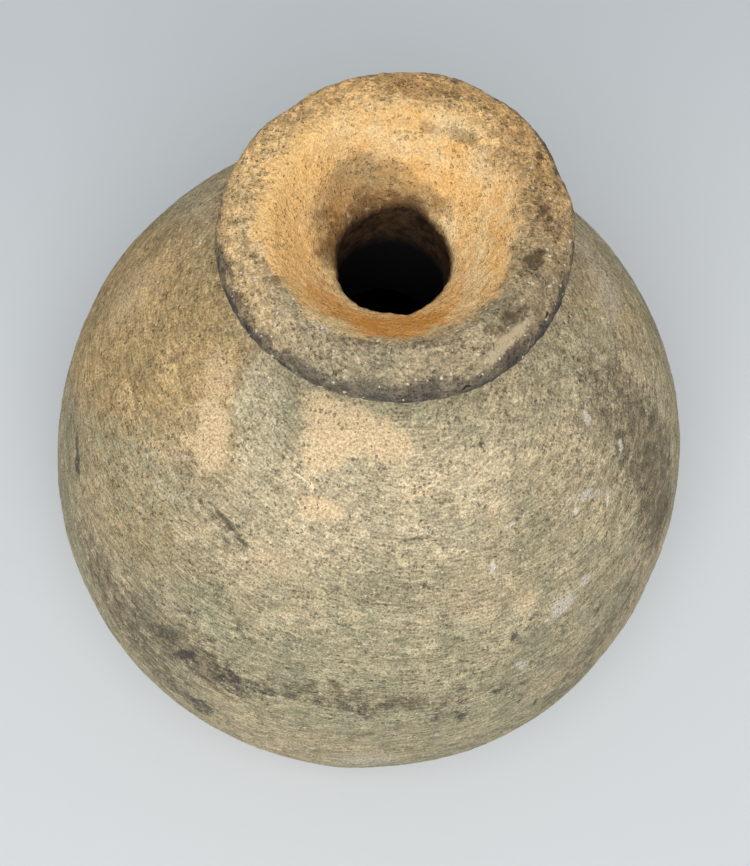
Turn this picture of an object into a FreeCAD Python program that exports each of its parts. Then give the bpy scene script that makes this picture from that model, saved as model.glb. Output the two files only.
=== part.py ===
import FreeCAD, Part
import math
import os
import Sketcher

# A round-bellied clay bottle with a short neck and a wide flared mouth.
# It is hand built: a thick bowl for the base, flat rings of clay stacked on
# it and luted together along bevelled seams, a closing cap that is open in
# the middle, a tube for the neck set in that opening with a coil pressed
# into the corner round it, a flared mouth on the tube, and a coil for the
# lip. Every piece is a ring about the bottle's upright axis.
#
# Origin: the middle of the resting face, with +Z up. Lengths are in
# millimetres.

SIZES = {
    # body outline
    "foot_radius": 24,      # flat spot that the bottle stands on
    "belly_radius": 75,     # widest radius
    "belly_height": 64,     # height of the widest radius
    "side_arc": 110,        # curve of the wall above the belly
    "side_rise": 42,        # how far up that curve runs
    "shoulder_arc": 62,     # tighter curve that closes the shoulder
    # rings and seams
    "wall": 6,              # thickness of the body wall
    "base_thickness": 9,    # thickness of the base on the axis
    "base_depth": 14,       # height of the base bowl's outer edge
    "lower_rise": 23,       # height of the ring on the base bowl
    "shoulder_rise": 24,    # height of the ring under the cap
    "seam_lap": 4,          # how far each seam runs down inside the wall
    # neck
    "bore_radius": 11.2,    # bore of the neck
    "neck_wall": 5.8,       # thickness of the neck
    "neck_root": 16,        # hollow curve from shoulder to neck
    "neck_length": 8.3,     # straight neck that shows under the mouth
    "neck_proud": 2,        # how far the tube stands into the body
    "coil_seat": 2,         # depth that the corner coil is pressed in
    # mouth
    "rim_radius": 35.2,     # outside of the lip
    "lip_width": 9,         # from the outside of the lip to its crest
    "lip_edge": 3.5,        # rounding of the outer edge
    "crown_arc": 16,        # top of the lip, outside its crest
    "crest_round": 4,       # rounding from the crest into the funnel
    "mouth_depth": 18,      # depth of the funnel, from the crest to the bore
    "throat_round": 5,      # rounding from the funnel into the bore
}

# arcs of the body outline: centre and radius of each
LOWER_ARC = ("lower_x", "Sizes.belly_height", "lower_arc")
SIDE_ARC = ("side_x", "Sizes.belly_height", "Sizes.side_arc")
SHOULDER_ARC = ("shoulder_x", "shoulder_z", "Sizes.shoulder_arc")


def seam_cells(seam, arc, height):
    """The two ends of a bevelled seam: on an outline arc, and lower down inside."""
    x, z, radius = arc
    inner = f"({radius} - Sizes.wall)"
    return {
        f"{seam}_z": f"{height}",
        f"{seam}_lean": f"asin(({seam}_z - {z}) / {radius})",
        f"{seam}_x": f"{x} + {radius} * cos({seam}_lean)",
        f"{seam}_in_lean": f"{seam}_lean - Sizes.seam_lap / {inner} * 1 rad",
        f"{seam}_in_x": f"{x} + {inner} * cos({seam}_in_lean)",
        f"{seam}_in_z": f"{z} + {inner} * sin({seam}_in_lean)",
    }


def body_cells():
    """Outline arcs of the body, and the seams between its rings."""
    inset = "(Sizes.belly_radius - Sizes.foot_radius)"
    turn = "(Sizes.side_arc - Sizes.shoulder_arc)"
    cells = {
        "lower_arc": f"({inset}^2 + Sizes.belly_height^2) / (2 * {inset})",
        "lower_x": "Sizes.belly_radius - lower_arc",
        "side_x": "Sizes.belly_radius - Sizes.side_arc",
        "side_lean": "asin(Sizes.side_rise / Sizes.side_arc)",
        "shoulder_x": f"side_x + {turn} * cos(side_lean)",
        "shoulder_z": f"Sizes.belly_height + {turn} * sin(side_lean)",
    }
    cells.update(seam_cells("base_seam", LOWER_ARC, "Sizes.base_depth"))
    cells.update(seam_cells("lower_seam", LOWER_ARC, "base_seam_z + Sizes.lower_rise"))
    cells.update(seam_cells("belly_seam", LOWER_ARC, "Sizes.belly_height"))
    cells.update(seam_cells("side_seam", SIDE_ARC, "Sizes.belly_height + Sizes.side_rise"))
    cells.update(seam_cells("cap_seam", SHOULDER_ARC, "side_seam_z + Sizes.shoulder_rise"))
    floor_rise = "(base_seam_in_z - Sizes.base_thickness)"
    cells["floor_arc"] = f"(base_seam_in_x^2 + {floor_rise}^2) / (2 * {floor_rise})"
    return cells


def neck_cells():
    """Where the hollow curve, the corner coil and the neck tube meet."""
    reach = "(Sizes.shoulder_arc + Sizes.neck_root)"
    seat = "(Sizes.shoulder_arc - Sizes.coil_seat)"
    inner = "(Sizes.shoulder_arc - Sizes.wall)"
    return {
        "neck_radius": "Sizes.bore_radius + Sizes.neck_wall",
        "spigot_radius": "neck_radius - Sizes.coil_seat",
        "root_lean": f"acos((neck_radius + Sizes.neck_root - shoulder_x) / {reach})",
        "root_top": f"shoulder_z + {reach} * sin(root_lean)",
        "root_x": "shoulder_x + Sizes.shoulder_arc * cos(root_lean)",
        "root_z": "shoulder_z + Sizes.shoulder_arc * sin(root_lean)",
        "seat_x": f"shoulder_x + {seat} * cos(root_lean)",
        "seat_z": f"shoulder_z + {seat} * sin(root_lean)",
        "seat_top": f"shoulder_z + sqrt({seat}^2 - (spigot_radius - shoulder_x)^2)",
        "socket_foot": f"shoulder_z + sqrt({inner}^2 - (spigot_radius - shoulder_x)^2)",
        "neck_foot": "socket_foot - Sizes.neck_proud",
        "neck_top": "root_top + Sizes.neck_length",
    }


def mouth_cells():
    """Lip and funnel, stacked on the top of the neck."""
    return {
        "edge_x": "Sizes.rim_radius - Sizes.lip_edge",
        "crest_x": "Sizes.rim_radius - Sizes.lip_width",
        "flare_arc": "edge_x - neck_radius",
        "under_z": "neck_top + sqrt(flare_arc^2 - (edge_x - crest_x)^2)",
        "edge_foot": "neck_top + flare_arc",
        "edge_z": "edge_foot + Sizes.lip_edge",
        "crown_lean": "acos((edge_x - crest_x) / (Sizes.crown_arc - Sizes.lip_edge))",
        "crown_x": "edge_x + Sizes.lip_edge * cos(crown_lean)",
        "crown_z": "edge_z + Sizes.lip_edge * sin(crown_lean)",
        "height": "crown_z + Sizes.crown_arc * (1 - sin(crown_lean))",
        "throat_z": "height - Sizes.mouth_depth",
        "funnel_run": "crest_x - Sizes.bore_radius - Sizes.throat_round",
        "funnel_fall": "Sizes.mouth_depth - Sizes.crest_round",
        "tilt": "asin((Sizes.throat_round - Sizes.crest_round) / sqrt(funnel_run^2 + funnel_fall^2))",
        "slope": "atan(funnel_fall / funnel_run) - tilt",
        "funnel_top_x": "crest_x - Sizes.crest_round * sin(slope)",
        "funnel_top_z": "height - Sizes.crest_round * (1 - cos(slope))",
        "funnel_foot_x": "Sizes.bore_radius + Sizes.throat_round * (1 - sin(slope))",
        "funnel_foot_z": "throat_z + Sizes.throat_round * cos(slope)",
    }


def fill_sheet(doc, name, cells):
    """A sheet with one named cell in each row."""
    sheet = doc.addObject("Spreadsheet::Sheet", name)
    for row, (alias, text) in enumerate(cells.items(), start=1):
        sheet.set(f"A{row}", alias)
        sheet.set(f"B{row}", text)
        sheet.setAlias(f"B{row}", alias)
    doc.recompute()
    return sheet


def cell_value(doc, cell):
    """The number in a cell that is written as Sheet.alias, or zero."""
    if cell == "0":
        return 0.0
    sheet, alias = cell.split(".")
    return float(doc.getObject(sheet).get(alias))


def arc_through(start, end, radius, side):
    """The short arc between two points that bulges to the given side."""
    chord = end - start
    middle = (start + end) / 2
    normal = FreeCAD.Vector(-chord.y, chord.x, 0).normalize()
    sagitta = math.sqrt(radius ** 2 - (chord.Length / 2) ** 2)
    centre = middle - normal * (sagitta * side)
    circle = Part.Circle(centre, FreeCAD.Vector(0, 0, 1), radius)
    first, last = (end, start) if side > 0 else (start, end)
    return Part.ArcOfCircle(circle, circle.parameter(first), circle.parameter(last))


LEFT = 1     # an arc that bulges to the left of its way round the outline
RIGHT = -1   # an arc that bulges to the right


def hold_corner(sketch, edge, end, corner):
    """Ties a corner of the outline to the cells of its x and its height."""
    axes = (("DistanceX", corner[0], -2), ("DistanceY", corner[1], -1))
    for kind, cell, axis in axes:
        if cell == "0":
            sketch.addConstraint(Sketcher.Constraint("PointOnObject", edge, end, axis))
            continue
        value = cell_value(sketch.Document, cell)
        number = sketch.addConstraint(Sketcher.Constraint(kind, -1, 1, edge, end, value))
        sketch.setExpression(f"Constraints[{number}]", cell)


def draw_outline(sketch, corners, edges):
    """A closed outline through the corners, anticlockwise.

    An edge is None for a straight line, or the cells whose difference or
    value is an arc's radius, with the side that the arc bulges to.
    """
    doc = sketch.Document
    points = [FreeCAD.Vector(cell_value(doc, x), cell_value(doc, z), 0) for x, z in corners]
    ends = []
    for index, edge in enumerate(edges):
        start = points[index]
        end = points[(index + 1) % len(points)]
        if edge is None:
            ends.append((1, 2))
            sketch.addGeometry(Part.LineSegment(start, end), False)
            continue
        cells, side = edge
        radius = cell_value(doc, cells[0]) - sum(cell_value(doc, cell) for cell in cells[1:])
        ends.append((2, 1) if side > 0 else (1, 2))
        sketch.addGeometry(arc_through(start, end, radius, side), False)
        number = sketch.addConstraint(Sketcher.Constraint("Radius", index, radius))
        sketch.setExpression(f"Constraints[{number}]", " - ".join(cells))
    for index, corner in enumerate(corners):
        before = index - 1 if index else len(edges) - 1
        sketch.addConstraint(
            Sketcher.Constraint("Coincident", before, ends[before][1], index, ends[index][0])
        )
        hold_corner(sketch, index, ends[index][0], corner)


def turned_piece(doc, label, corners, edges):
    """A piece turned about the upright axis from its half section."""
    body = doc.addObject("PartDesign::Body", label)
    body.Label = label
    plane = next(item for item in body.Origin.OriginFeatures if item.Role == "XZ_Plane")
    section = body.newObject("Sketcher::SketchObject", f"{label}_section")
    section.AttachmentSupport = [(plane, "")]
    section.MapMode = "FlatFace"
    draw_outline(section, corners, edges)
    turned = body.newObject("PartDesign::Revolution", f"{label}_turned")
    turned.Profile = section
    turned.ReferenceAxis = (section, ["V_Axis"])
    turned.Angle = 360
    section.Visibility = False
    return body


def outer_end(seam):
    return (f"Worked.{seam}_x", f"Worked.{seam}_z")


def inner_end(seam):
    return (f"Worked.{seam}_in_x", f"Worked.{seam}_in_z")


def base_bowl(doc):
    """Thick bowl with a small flat under it and a dished floor."""
    corners = [
        ("0", "0"),
        ("Sizes.foot_radius", "0"),
        outer_end("base_seam"),
        inner_end("base_seam"),
        ("0", "Sizes.base_thickness"),
    ]
    edges = [
        None,
        (["Worked.lower_arc"], RIGHT),
        None,
        (["Worked.floor_arc"], LEFT),
        None,
    ]
    return turned_piece(doc, "base_bowl", corners, edges)


def wall_ring(doc, label, low_seam, high_seam, arc):
    """Ring of the body wall between two bevelled seams."""
    corners = [outer_end(low_seam), outer_end(high_seam), inner_end(high_seam), inner_end(low_seam)]
    edges = [([arc], RIGHT), None, ([arc, "Sizes.wall"], LEFT), None]
    return turned_piece(doc, label, corners, edges)


def shoulder_cap(doc):
    """Last ring of the body, with a socket for the neck and a coil's seat."""
    corners = [
        outer_end("cap_seam"),
        ("Worked.root_x", "Worked.root_z"),
        ("Worked.seat_x", "Worked.seat_z"),
        ("Worked.spigot_radius", "Worked.seat_top"),
        ("Worked.spigot_radius", "Worked.socket_foot"),
        inner_end("cap_seam"),
    ]
    edges = [
        (["Sizes.shoulder_arc"], RIGHT),
        None,
        (["Sizes.shoulder_arc", "Sizes.coil_seat"], RIGHT),
        None,
        (["Sizes.shoulder_arc", "Sizes.wall"], LEFT),
        None,
    ]
    return turned_piece(doc, "shoulder_cap", corners, edges)


def neck_coil(doc):
    """Coil pressed into the corner round the neck and smoothed hollow."""
    corners = [
        ("Worked.root_x", "Worked.root_z"),
        ("Worked.neck_radius", "Worked.root_top"),
        ("Worked.spigot_radius", "Worked.root_top"),
        ("Worked.spigot_radius", "Worked.seat_top"),
        ("Worked.seat_x", "Worked.seat_z"),
    ]
    edges = [
        (["Sizes.neck_root"], LEFT),
        None,
        None,
        (["Sizes.shoulder_arc", "Sizes.coil_seat"], LEFT),
        None,
    ]
    return turned_piece(doc, "neck_coil", corners, edges)


def neck_tube(doc):
    """Tube of the neck: a spigot in the cap, then the neck that shows."""
    corners = [
        ("Sizes.bore_radius", "Worked.neck_foot"),
        ("Worked.spigot_radius", "Worked.neck_foot"),
        ("Worked.spigot_radius", "Worked.root_top"),
        ("Worked.neck_radius", "Worked.root_top"),
        ("Worked.neck_radius", "Worked.neck_top"),
        ("Sizes.bore_radius", "Worked.throat_z"),
    ]
    edges = [None] * len(corners)
    return turned_piece(doc, "neck_tube", corners, edges)


def mouth_flare(doc):
    """Trumpet of the mouth: a hollow curve under it, a funnel inside."""
    corners = [
        ("Sizes.bore_radius", "Worked.throat_z"),
        ("Worked.neck_radius", "Worked.neck_top"),
        ("Worked.crest_x", "Worked.under_z"),
        ("Worked.crest_x", "Worked.height"),
        ("Worked.funnel_top_x", "Worked.funnel_top_z"),
        ("Worked.funnel_foot_x", "Worked.funnel_foot_z"),
    ]
    edges = [
        None,
        (["Worked.flare_arc"], LEFT),
        None,
        (["Sizes.crest_round"], RIGHT),
        None,
        (["Sizes.throat_round"], RIGHT),
    ]
    return turned_piece(doc, "mouth_flare", corners, edges)


def lip_coil(doc):
    """Coil round the edge of the flare, rounded over to make the lip."""
    corners = [
        ("Worked.crest_x", "Worked.under_z"),
        ("Worked.edge_x", "Worked.edge_foot"),
        ("Worked.crown_x", "Worked.crown_z"),
        ("Worked.crest_x", "Worked.height"),
    ]
    edges = [
        (["Worked.flare_arc"], LEFT),
        (["Sizes.lip_edge"], RIGHT),
        (["Sizes.crown_arc"], RIGHT),
        None,
    ]
    return turned_piece(doc, "lip_coil", corners, edges)


def build_pieces(doc):
    """Every piece of the bottle, from the base to the lip."""
    return [
        base_bowl(doc),
        wall_ring(doc, "lower_wall", "base_seam", "lower_seam", "Worked.lower_arc"),
        wall_ring(doc, "belly_wall", "lower_seam", "belly_seam", "Worked.lower_arc"),
        wall_ring(doc, "upper_wall", "belly_seam", "side_seam", "Sizes.side_arc"),
        wall_ring(doc, "shoulder_wall", "side_seam", "cap_seam", "Sizes.shoulder_arc"),
        shoulder_cap(doc),
        neck_coil(doc),
        neck_tube(doc),
        mouth_flare(doc),
        lip_coil(doc),
    ]


def check_document(doc, pieces):
    """Stops if anything failed to build."""
    for item in doc.Objects:
        if "Invalid" in item.State or "Error" in item.State:
            raise RuntimeError(f"{item.Label} failed: {item.State}")
    for piece in pieces:
        if piece.Shape.isNull() or not piece.Shape.isValid():
            raise RuntimeError(f"{piece.Label} has no valid solid")


def main():
    doc = FreeCAD.newDocument("pottery_bottle")
    fill_sheet(doc, "Sizes", {name: str(value) for name, value in SIZES.items()})
    worked = {**body_cells(), **neck_cells(), **mouth_cells()}
    fill_sheet(doc, "Worked", {name: f"={formula}" for name, formula in worked.items()})
    pieces = build_pieces(doc)
    doc.recompute()
    check_document(doc, pieces)
    os.makedirs("parts", exist_ok=True)
    for piece in pieces:
        piece.Shape.exportStep(f"parts/{piece.Label}.step")
        print(f"{piece.Label}: {piece.Shape.Volume:.0f} mm3")
    print(f"height {cell_value(doc, 'Worked.height'):.2f} mm")


main()
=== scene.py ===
import bpy
import math
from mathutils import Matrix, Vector


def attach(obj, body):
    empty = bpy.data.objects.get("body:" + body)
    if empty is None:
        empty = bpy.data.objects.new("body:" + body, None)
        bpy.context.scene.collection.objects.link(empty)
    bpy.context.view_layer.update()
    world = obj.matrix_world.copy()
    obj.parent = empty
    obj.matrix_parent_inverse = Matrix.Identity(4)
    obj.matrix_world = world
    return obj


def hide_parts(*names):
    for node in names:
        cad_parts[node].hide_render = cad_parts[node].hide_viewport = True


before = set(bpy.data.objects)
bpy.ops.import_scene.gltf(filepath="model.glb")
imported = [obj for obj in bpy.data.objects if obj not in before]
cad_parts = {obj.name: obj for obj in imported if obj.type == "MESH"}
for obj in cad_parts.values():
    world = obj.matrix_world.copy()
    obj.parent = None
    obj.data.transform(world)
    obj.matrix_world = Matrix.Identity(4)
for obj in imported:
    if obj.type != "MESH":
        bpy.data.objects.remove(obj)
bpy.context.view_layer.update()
scene = bpy.context.scene


# Base bowl. The thick bowl that the bottle was started in, pinched out of
# one lump of gritty clay, with a small spot pressed flat for it to stand on
# and a dished floor. Everything else is luted on its bevelled edge.

ROUND = 192          # points round every ring, the same for all so that seams meet
SKIN = 0.4           # mm that the dressed clay lies inside the plain solid
BELLY = 64.0         # mm, height of the widest place
PIN_RADIUS = 1.0     # mm, rings left open on the axis until they are drawn together
FOOT_RADIUS = 23.4   # mm, flat spot inside its rounded edge
FOOT_LEAN = -77.0    # degrees on the low curve where it leaves the foot
BASE_SEAM = -49.6    # degrees on the low curve at the bowl's edge
BOWL_EDGE = (45.0, 16.2)                # inner end of the bowl's bevelled edge
LOW_BOW = (9.343, BELLY, 65.657)        # curve of the wall below the belly: centre and radius in mm
FLOOR_BOW = (0.0, 151.3, 142.3)         # curve of the dished floor
FLOOR_LEANS = (288.4, 270.4)            # degrees that the floor runs between


def bow(curve, start, end, steps, inset=0.0):
    """Points of the half section along a curve, between two leans in degrees."""
    x, z, radius = curve
    turns = [math.radians(start + (end - start) * i / steps) for i in range(steps + 1)]
    return [(x + (radius - inset) * math.cos(a), z + (radius - inset) * math.sin(a)) for a in turns]


def slip(start, end, steps):
    """Points of the half section along a straight run."""
    return [
        (start[0] + (end[0] - start[0]) * i / steps, start[1] + (end[1] - start[1]) * i / steps)
        for i in range(steps + 1)
    ]


SAME_PLACE = 0.02    # mm between two points of a half section that are one


def joined(*runs):
    """One list of points from runs that share their ends."""
    section = []
    for run in runs:
        for point in run:
            if not section or math.dist(point, section[-1]) > SAME_PLACE:
                section.append(point)
    return section


ON_RING = 0.01       # mm that a vertex may lie off the ring it is on


def pick_rings(piece, rings):
    """Selects the vertices that lie on the named rings of a piece in edit mode."""
    bpy.ops.mesh.select_all(action="DESELECT")
    bpy.ops.object.mode_set(mode="OBJECT")
    for vertex in piece.data.vertices:
        out = math.hypot(vertex.co.x, vertex.co.y) * 1000
        up = vertex.co.z * 1000
        vertex.select = any(abs(out - r) < ON_RING and abs(up - z) < ON_RING for r, z in rings)
    bpy.ops.object.mode_set(mode="EDIT")


SHARP = 52           # degrees that a half section turns at a sharp corner


def sharp_rings(section, closed):
    """The corners of a half section, where the clay was cut or pressed to an edge."""
    corners = []
    count = len(section)
    for i, point in enumerate(section):
        if not closed and i in (0, count - 1):
            continue
        before, after = section[i - 1], section[(i + 1) % count]
        inward = math.atan2(point[1] - before[1], point[0] - before[0])
        outward = math.atan2(after[1] - point[1], after[0] - point[0])
        bend = abs((outward - inward + math.pi) % (2 * math.pi) - math.pi)
        if bend > math.radians(SHARP):
            corners.append(point)
    return corners


CLOSED_UP = 0.002    # mm between the first and last circle of a closed ring


def draw_up(name, section, closed=True):
    """Pulls a ring of clay up round its half section, a circle at a time."""
    bpy.ops.object.select_all(action="DESELECT")
    radius, height = section[0]
    bpy.ops.mesh.primitive_circle_add(
        vertices=ROUND, radius=radius / 1000, location=(0, 0, height / 1000)
    )
    piece = bpy.context.object
    piece.name = name
    piece.data.name = name
    bpy.ops.object.transform_apply(location=True)
    bpy.ops.object.mode_set(mode="EDIT")
    bpy.ops.mesh.select_all(action="SELECT")
    steps = section[1:] + section[:1] if closed else section[1:]
    for r, z in steps:
        bpy.ops.mesh.extrude_region_move(TRANSFORM_OT_translate={"value": (0, 0, (z - height) / 1000)})
        bpy.ops.transform.resize(value=(r / radius, r / radius, 1), center_override=(0, 0, z / 1000))
        radius, height = r, z
    if closed:
        bpy.ops.mesh.select_all(action="SELECT")
        bpy.ops.mesh.remove_doubles(threshold=CLOSED_UP / 1000)
    pick_rings(piece, sharp_rings(section, closed))
    bpy.ops.transform.edge_crease(value=1)
    bpy.ops.mesh.mark_sharp()
    bpy.ops.mesh.select_all(action="SELECT")
    bpy.ops.mesh.normals_make_consistent(inside=False)
    bpy.ops.object.mode_set(mode="OBJECT")
    return piece


def close_middle(piece):
    """Draws the small open rings on the axis together to a point."""
    bpy.ops.object.mode_set(mode="EDIT")
    bpy.ops.mesh.select_all(action="DESELECT")
    bpy.ops.mesh.select_non_manifold()
    bpy.ops.mesh.extrude_region_move(TRANSFORM_OT_translate={"value": (0, 0, 0)})
    bpy.ops.mesh.merge(type="COLLAPSE")
    bpy.ops.mesh.select_all(action="SELECT")
    bpy.ops.mesh.normals_make_consistent(inside=False)
    bpy.ops.object.mode_set(mode="OBJECT")


def press(piece, presses):
    """Pushes of the hand: where each lands, how far it moves the clay, and its reach, in mm."""
    for place, push, reach in presses:
        ends = []
        for spot in (Vector(place), Vector(place) + Vector(push)):
            thumb = bpy.data.objects.new("thumb", None)
            thumb.location = spot / 1000
            scene.collection.objects.link(thumb)
            ends.append(thumb)
        bpy.context.view_layer.update()
        warp = piece.modifiers.new("press", "WARP")
        warp.object_from, warp.object_to = ends
        warp.falloff_type = "SMOOTH"
        warp.falloff_radius = reach / 1000
        bpy.ops.object.modifier_apply(modifier=warp.name)
        for thumb in ends:
            bpy.data.objects.remove(thumb)


def uneven(name, size, depth):
    """Unevenness of hand work: a noise in space, its size in mm and how often finer ones are added."""
    noise = bpy.data.textures.new(name, "CLOUDS")
    noise.cloud_type = "COLOR"
    noise.noise_basis = "BLENDER_ORIGINAL"
    noise.noise_scale = size / 1000
    noise.noise_depth = depth
    return noise


SWELLS = uneven("swells", 46, 0)
WAVES = uneven("waves", 13, 1)
GRIT = uneven("grit", 1.9, 1)
SWELL_DEPTH = 0.9    # mm between the highest and lowest clay of each
WAVE_DEPTH = 0.45
BODY_GRIT = 0.26

# Flats and hollows that the potter's hands left on the body.
BODY_PRESSES = [
    ((-48, 28, 123), (0.7, -0.45, -0.3), 44),
    ((64, -35, 84), (-1.1, 0.6, 0.1), 46),
    ((62, 20, 112), (0.8, 0.3, 0.2), 40),
    ((-52, -50, 78), (0.4, 0.4, 0), 42),
]


def fire(piece, presses, gritty_by=BODY_GRIT):
    """Rounds the drawn-up ring, then gives it the uneven surface of the fired clay."""
    bpy.ops.object.select_all(action="DESELECT")
    piece.select_set(True)
    bpy.context.view_layer.objects.active = piece
    press(piece, presses)
    smooth = piece.modifiers.new("rounded", "SUBSURF")
    smooth.levels = 2
    smooth.render_levels = 2
    bpy.ops.object.modifier_apply(modifier=smooth.name)
    for noise, depth in ((SWELLS, SWELL_DEPTH), (WAVES, WAVE_DEPTH), (GRIT, gritty_by)):
        rough = piece.modifiers.new(noise.name, "DISPLACE")
        rough.texture = noise
        rough.texture_coords = "LOCAL"
        rough.direction = "RGB_TO_XYZ"
        rough.mid_level = 0.5
        rough.strength = depth / 1000
        bpy.ops.object.modifier_apply(modifier=rough.name)
    bpy.ops.object.shade_smooth()


def clay(red, green, blue):
    """A colour matched against a chart, from 0 to 255, made linear."""
    return tuple(((c / 255 + 0.055) / 1.055) ** 2.4 for c in (red, green, blue)) + (1,)


def feed(tree, made, feeds):
    """Feeds the sockets of a node with values or with other sockets."""
    for socket, value in feeds.items():
        if isinstance(value, bpy.types.NodeSocket):
            tree.links.new(value, made.inputs[socket])
        else:
            made.inputs[socket].default_value = value
    return made


def put(tree, kind, feeds=None, **settings):
    """Adds a node with its settings and feeds."""
    made = tree.nodes.new("ShaderNode" + kind)
    for name, value in settings.items():
        setattr(made, name, value)
    return feed(tree, made, feeds or {})


def maths(tree, work, first, second=0.5):
    """One sum on one or two sockets or numbers."""
    return put(tree, "Math", {0: first, 1: second}, operation=work).outputs[0]


def times(tree, first, second):
    """Product of two sockets or numbers."""
    return maths(tree, "MULTIPLY", first, second)


def plus(tree, first, second):
    """Sum of two sockets or numbers."""
    return maths(tree, "ADD", first, second)


def minus(tree, first, second):
    """Difference of two sockets or numbers."""
    return maths(tree, "SUBTRACT", first, second)


def from_axis(tree, apart):
    """Distance in mm from the upright axis."""
    squares = [times(tree, side, side) for side in apart[:2]]
    return maths(tree, "SQRT", plus(tree, *squares))


def ramp(tree, value, low, high, to_low=0.0, to_high=1.0, kind="SMOOTHSTEP"):
    """Spreads the part of a value between two levels over a new range."""
    feeds = {"Value": value, "From Min": low, "From Max": high, "To Min": to_low, "To Max": to_high}
    return put(tree, "MapRange", feeds, interpolation_type=kind).outputs[0]


def blend(tree, share, under, over, kind="MIX"):
    """Lays one colour over another by a share."""
    made = put(tree, "Mix", {0: share, 6: under, 7: over}, data_type="RGBA", blend_type=kind)
    return made.outputs[2]


def cloud(tree, place, size, detail=2.0, rough=0.5, output=0):
    """Soft noise with swells of a size in mm."""
    feeds = {"Vector": place, "Scale": 1.0 / size, "Detail": detail, "Roughness": rough}
    return put(tree, "TexNoise", feeds).outputs[output]


def new_group(name, takes, gives):
    """An empty node group, with the names and kinds of what it takes and gives."""
    group = bpy.data.node_groups.new(name, "ShaderNodeTree")
    for direction, sockets in (("INPUT", takes), ("OUTPUT", gives)):
        for label, kind in sockets.items():
            group.interface.new_socket(label, in_out=direction, socket_type="NodeSocket" + kind)
    return group, group.nodes.new("NodeGroupInput").outputs, group.nodes.new("NodeGroupOutput").inputs


def use_group(tree, group, feeds):
    """A node group in a material, fed by name."""
    return put(tree, "Group", feeds, node_tree=group).outputs


def places_on(tree):
    """Places on a piece in mm, and the same places shaken so that stains come out ragged."""
    where = put(tree, "TexCoord").outputs["Object"]
    in_mm = put(tree, "VectorMath", {0: where, 3: 1000.0}, operation="SCALE").outputs[0]
    spots = {"Place": in_mm}
    for label, size, reach, detail in (("Ragged", 9.0, 9.0, 4.0), ("Shaken", 1.6, 1.5, 2.0)):
        noise = cloud(tree, in_mm, size, detail, 0.65, output=1)
        centred = put(tree, "VectorMath", {0: noise, 1: (0.5, 0.5, 0.5)}, operation="SUBTRACT")
        moved = put(tree, "VectorMath", {0: centred.outputs[0], 3: reach}, operation="SCALE")
        shaken = put(tree, "VectorMath", {0: in_mm, 1: moved.outputs[0]}, operation="ADD")
        spots[label] = shaken.outputs[0]
    return spots


# One mark on the clay: a stain, daub or scratch at a place, drawn out along
# its length and fading at its edge, laid on top of the marks before it.
mark, take, give = new_group("mark", {
    "Place": "Vector", "Centre": "Vector", "Along": "Vector",
    "Inner": "Float", "Outer": "Float", "Strength": "Float", "Marks": "Float",
}, {"Marks": "Float"})
off = put(mark, "VectorMath", {0: take["Place"], 1: take["Centre"]}, operation="SUBTRACT").outputs[0]
far = put(mark, "VectorMath", {0: off, 1: off}, operation="DOT_PRODUCT").outputs["Value"]
run = put(mark, "VectorMath", {0: off, 1: take["Along"]}, operation="DOT_PRODUCT").outputs["Value"]
far = minus(mark, far, times(mark, run, run))
shape = ramp(mark, far, take["Inner"], take["Outer"], take["Strength"], 0.0)
mark.links.new(maths(mark, "MAXIMUM", shape, take["Marks"]), give["Marks"])

# The grit of the clay: the tone of its grains, dark pits, white grains of
# crushed stone, and the height of all of them.
grit, take, give = new_group(
    "grit_of_clay",
    {"Place": "Vector", "Shaken": "Vector", "Coarse": "Float"},
    {"Tone": "Float", "Pits": "Float", "Grains": "Float", "Height": "Float", "Roughness": "Float"},
)
tone = cloud(grit, take["Place"], 0.5, 2.0, 0.85)
patchy = ramp(grit, cloud(grit, take["Place"], 6.0, 1.0), 0.35, 0.65, 0.45, 1.2)
pit_cells = put(grit, "TexVoronoi", {"Vector": take["Shaken"], "Scale": 1.05})
chance = put(grit, "SeparateColor", {0: pit_cells.outputs["Color"]}).outputs
pit_size = ramp(grit, chance[0], 0.3, 1.0, 0.0, 0.4, "LINEAR")
pit_size = times(grit, times(grit, pit_size, patchy), take["Coarse"])
past_pit = minus(grit, pit_cells.outputs["Distance"], pit_size)
pits = ramp(grit, past_pit, -0.12, 0.06, 1.0, 0.0)
grain_cells = put(grit, "TexVoronoi", {"Vector": take["Shaken"], "Scale": 0.95})
chance = put(grit, "SeparateColor", {0: grain_cells.outputs["Color"]}).outputs
rare = maths(grit, "DIVIDE", 0.74, take["Coarse"])
grain_size = times(grit, ramp(grit, chance[1], rare, 1.0, -0.08, 0.3, "LINEAR"), take["Coarse"])
past_grain = minus(grit, grain_cells.outputs["Distance"], grain_size)
grains = ramp(grit, past_grain, -0.1, 0.05, 1.0, 0.0)
height = minus(grit, tone, times(grit, pits, 0.8))
uneven_gloss = ramp(grit, height, 0.2, 0.8, 0.78, 0.95)
for socket, label in (
    (tone, "Tone"), (pits, "Pits"), (grains, "Grains"), (height, "Height"), (uneven_gloss, "Roughness"),
):
    grit.links.new(socket, give[label])

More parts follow.
